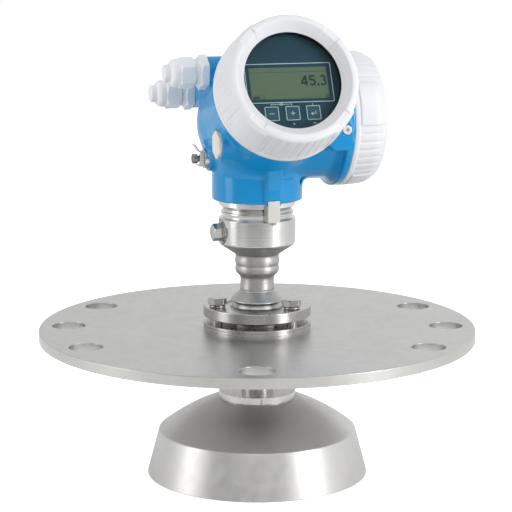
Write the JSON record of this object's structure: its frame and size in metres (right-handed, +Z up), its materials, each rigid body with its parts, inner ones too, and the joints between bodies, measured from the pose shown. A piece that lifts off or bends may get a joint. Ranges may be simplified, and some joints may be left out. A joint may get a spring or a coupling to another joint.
{
  "type": "radar level transmitter",
  "caption": "Radar level transmitter: a dished antenna under a flat process flange, with a housing, local display and cable glands on an aimable steel neck.",
  "frame": {"origin": "centre of the flange's lower (sealing) face, which is also the centre of its bolt circle", "axes": "+Z up along the flange axis to the housing, -Y the front, on whose side the display looks out (turned 17 degrees towards +X), +X to the right seen from the front"},
  "size_m": [0.34, 0.34, 0.3629],
  "materials": {
    "mounting_flange": "satin, ground",
    "seat_ring": "fine turned",
    "clamp_plate": "fine turned",
    "clamp_bolts": "plain stainless",
    "spring_washers": "plain stainless",
    "seat_liner": "filled sliding plastic",
    "neck": "bright turned",
    "purge_plug": "plain stainless",
    "purge_washer": "plain stainless",
    "waveguide": "drawn tube",
    "waveguide_bush": "white plastic",
    "waveguide_coupler": "machined",
    "neck_snap_ring": "spring steel",
    "swivel_seal": "smooth",
    "drop_tube": "drawn tube",
    "antenna_hub": "turned",
    "antenna_bell": "spun, satin",
    "bell_nut": "turned",
    "feed_cone": "white plastic",
    "sub_reflector": "turned",
    "housing": "glossy powder paint",
    "swivel_collar": "turned",
    "lock_claw": "cast, satin",
    "claw_screw": "plain stainless",
    "cover_lock_screw": "plain stainless",
    "display_cover": "light grey powder paint",
    "window_gasket": "smooth",
    "window_glass": "clear float glass",
    "window_retainer": "dark anodised",
    "display_cover_seal": "smooth",
    "electronics_module": "dark moulded",
    "display_module": "dark moulded",
    "display_overlay": "printed film, dark teal",
    "lcd_panel": "grey-green liquid crystal",
    "key_minus": "printed, dark teal",
    "key_plus": "printed, dark teal",
    "key_enter": "printed, dark teal",
    "terminal_cover": "light grey powder paint",
    "terminal_cover_seal": "smooth",
    "terminal_block": "moulded",
    "terminal_screws": "plated",
    "gland_body_front": "light grey moulded",
    "gland_body_rear": "light grey moulded",
    "gland_nut_front": "light grey moulded",
    "gland_nut_rear": "light grey moulded",
    "gland_seal_front": "smooth",
    "gland_seal_rear": "smooth",
    "gland_plug_front": "light grey moulded",
    "gland_plug_rear": "light grey moulded",
    "entry_plug": "warm white moulded",
    "ground_washer": "plain stainless",
    "ground_clamp": "pressed",
    "ground_screw": "plain stainless"
  },
  "bodies": {
    "flange": {"mounting_flange": "mounting_flange", "seat_ring": "seat_ring", "clamp_plate": "clamp_plate", "clamp_bolts": "clamp_bolts", "spring_washers": "spring_washers"},
    "ball_liner": {"seat_liner": "seat_liner"},
    "neck_antenna": {"neck": "neck", "purge_plug": "purge_plug", "purge_washer": "purge_washer", "waveguide": "waveguide", "waveguide_bush": "waveguide_bush", "waveguide_coupler": "waveguide_coupler", "neck_snap_ring": "neck_snap_ring", "swivel_seal": "swivel_seal", "drop_tube": "drop_tube", "antenna_hub": "antenna_hub", "antenna_bell": "antenna_bell", "bell_nut": "bell_nut", "feed_cone": "feed_cone", "sub_reflector": "sub_reflector"},
    "head": {"housing": "housing", "swivel_collar": "swivel_collar", "lock_claw": "lock_claw", "claw_screw": "claw_screw", "cover_lock_screw": "cover_lock_screw", "electronics_module": "electronics_module", "display_module": "display_module", "display_overlay": "display_overlay", "lcd_panel": "lcd_panel", "terminal_block": "terminal_block", "terminal_screws": "terminal_screws", "gland_body_front": "gland_body_front", "gland_body_rear": "gland_body_rear", "entry_plug": "entry_plug", "ground_washer": "ground_washer", "ground_clamp": "ground_clamp", "ground_screw": "ground_screw"},
    "display_seal": {"display_cover_seal": "display_cover_seal"},
    "display_lid": {"display_cover": "display_cover", "window_gasket": "window_gasket", "window_glass": "window_glass", "window_retainer": "window_retainer"},
    "terminal_seal": {"terminal_cover_seal": "terminal_cover_seal"},
    "terminal_lid": {"terminal_cover": "terminal_cover"},
    "gland_insert_front": {"gland_seal_front": "gland_seal_front", "gland_plug_front": "gland_plug_front"},
    "gland_cap_front": {"gland_nut_front": "gland_nut_front"},
    "gland_insert_rear": {"gland_seal_rear": "gland_seal_rear", "gland_plug_rear": "gland_plug_rear"},
    "gland_cap_rear": {"gland_nut_rear": "gland_nut_rear"},
    "minus_key": {"key_minus": "key_minus"},
    "plus_key": {"key_plus": "key_plus"},
    "enter_key": {"key_enter": "key_enter"}
  },
  "joints": [
    {"name": "aim_fore_aft", "type": "hinge", "parent": "flange", "child": "ball_liner", "pos_m": [0, 0, 0.0149], "axis": [1, 0, 0], "range_deg": [-8, 8]},
    {"name": "aim_sideways", "type": "hinge", "parent": "ball_liner", "child": "neck_antenna", "pos_m": [0, 0, 0.0149], "axis": [0, 1, 0], "range_deg": [-8, 8]},
    {"name": "housing_swivel", "type": "hinge", "parent": "neck_antenna", "child": "head", "pos_m": [0, 0, 0.1089], "axis": [0, 0, 1], "range_deg": [-175, 175]},
    {"name": "display_lid_advance", "type": "slide", "parent": "head", "child": "display_seal", "axis": [0.2663, -0.8709, 0.4131], "range_m": [0, 0.009]},
    {"name": "display_lid_turn", "type": "hinge", "parent": "display_seal", "child": "display_lid", "pos_m": [0, 0, 0.168], "axis": [0.2663, -0.8709, 0.4131], "range_deg": [0, 1080]},
    {"name": "terminal_lid_advance", "type": "slide", "parent": "head", "child": "terminal_seal", "axis": [0.9563, 0.2924, 0], "range_m": [0, 0.009]},
    {"name": "terminal_lid_turn", "type": "hinge", "parent": "terminal_seal", "child": "terminal_lid", "pos_m": [0, 0, 0.1692], "axis": [0.9563, 0.2924, 0], "range_deg": [0, 1080]},
    {"name": "gland_front_advance", "type": "slide", "parent": "head", "child": "gland_insert_front", "axis": [-0.9563, -0.2924, 0], "range_m": [0, 0.0031]},
    {"name": "gland_front_turn", "type": "hinge", "parent": "gland_insert_front", "child": "gland_cap_front", "pos_m": [-0.03884, -0.01935, 0.20792], "axis": [-0.9563, -0.2924, 0], "range_deg": [0, 720]},
    {"name": "gland_rear_advance", "type": "slide", "parent": "head", "child": "gland_insert_rear", "axis": [-0.9563, -0.2924, 0], "range_m": [0, 0.0031]},
    {"name": "gland_rear_turn", "type": "hinge", "parent": "gland_insert_rear", "child": "gland_cap_rear", "pos_m": [-0.05135, 0.02158, 0.1885], "axis": [-0.9563, -0.2924, 0], "range_deg": [0, 720]},
    {"name": "minus_key_press", "type": "slide", "parent": "head", "child": "minus_key", "axis": [-0.2663, 0.8709, -0.4131], "range_m": [0, 0.0004], "stiffness_N_per_m": 600},
    {"name": "plus_key_press", "type": "slide", "parent": "head", "child": "plus_key", "axis": [-0.2663, 0.8709, -0.4131], "range_m": [0, 0.0004], "stiffness_N_per_m": 600},
    {"name": "enter_key_press", "type": "slide", "parent": "head", "child": "enter_key", "axis": [-0.2663, 0.8709, -0.4131], "range_m": [0, 0.0004], "stiffness_N_per_m": 600}
  ],
  "couplings": [
    {"joint": "display_lid_advance", "follows": "display_lid_turn", "m_per_rad": 0.00047746},
    {"joint": "terminal_lid_advance", "follows": "terminal_lid_turn", "m_per_rad": 0.00047746},
    {"joint": "gland_front_advance", "follows": "gland_front_turn", "m_per_rad": 0.00023873},
    {"joint": "gland_rear_advance", "follows": "gland_rear_turn", "m_per_rad": 0.00023873}
  ]
}
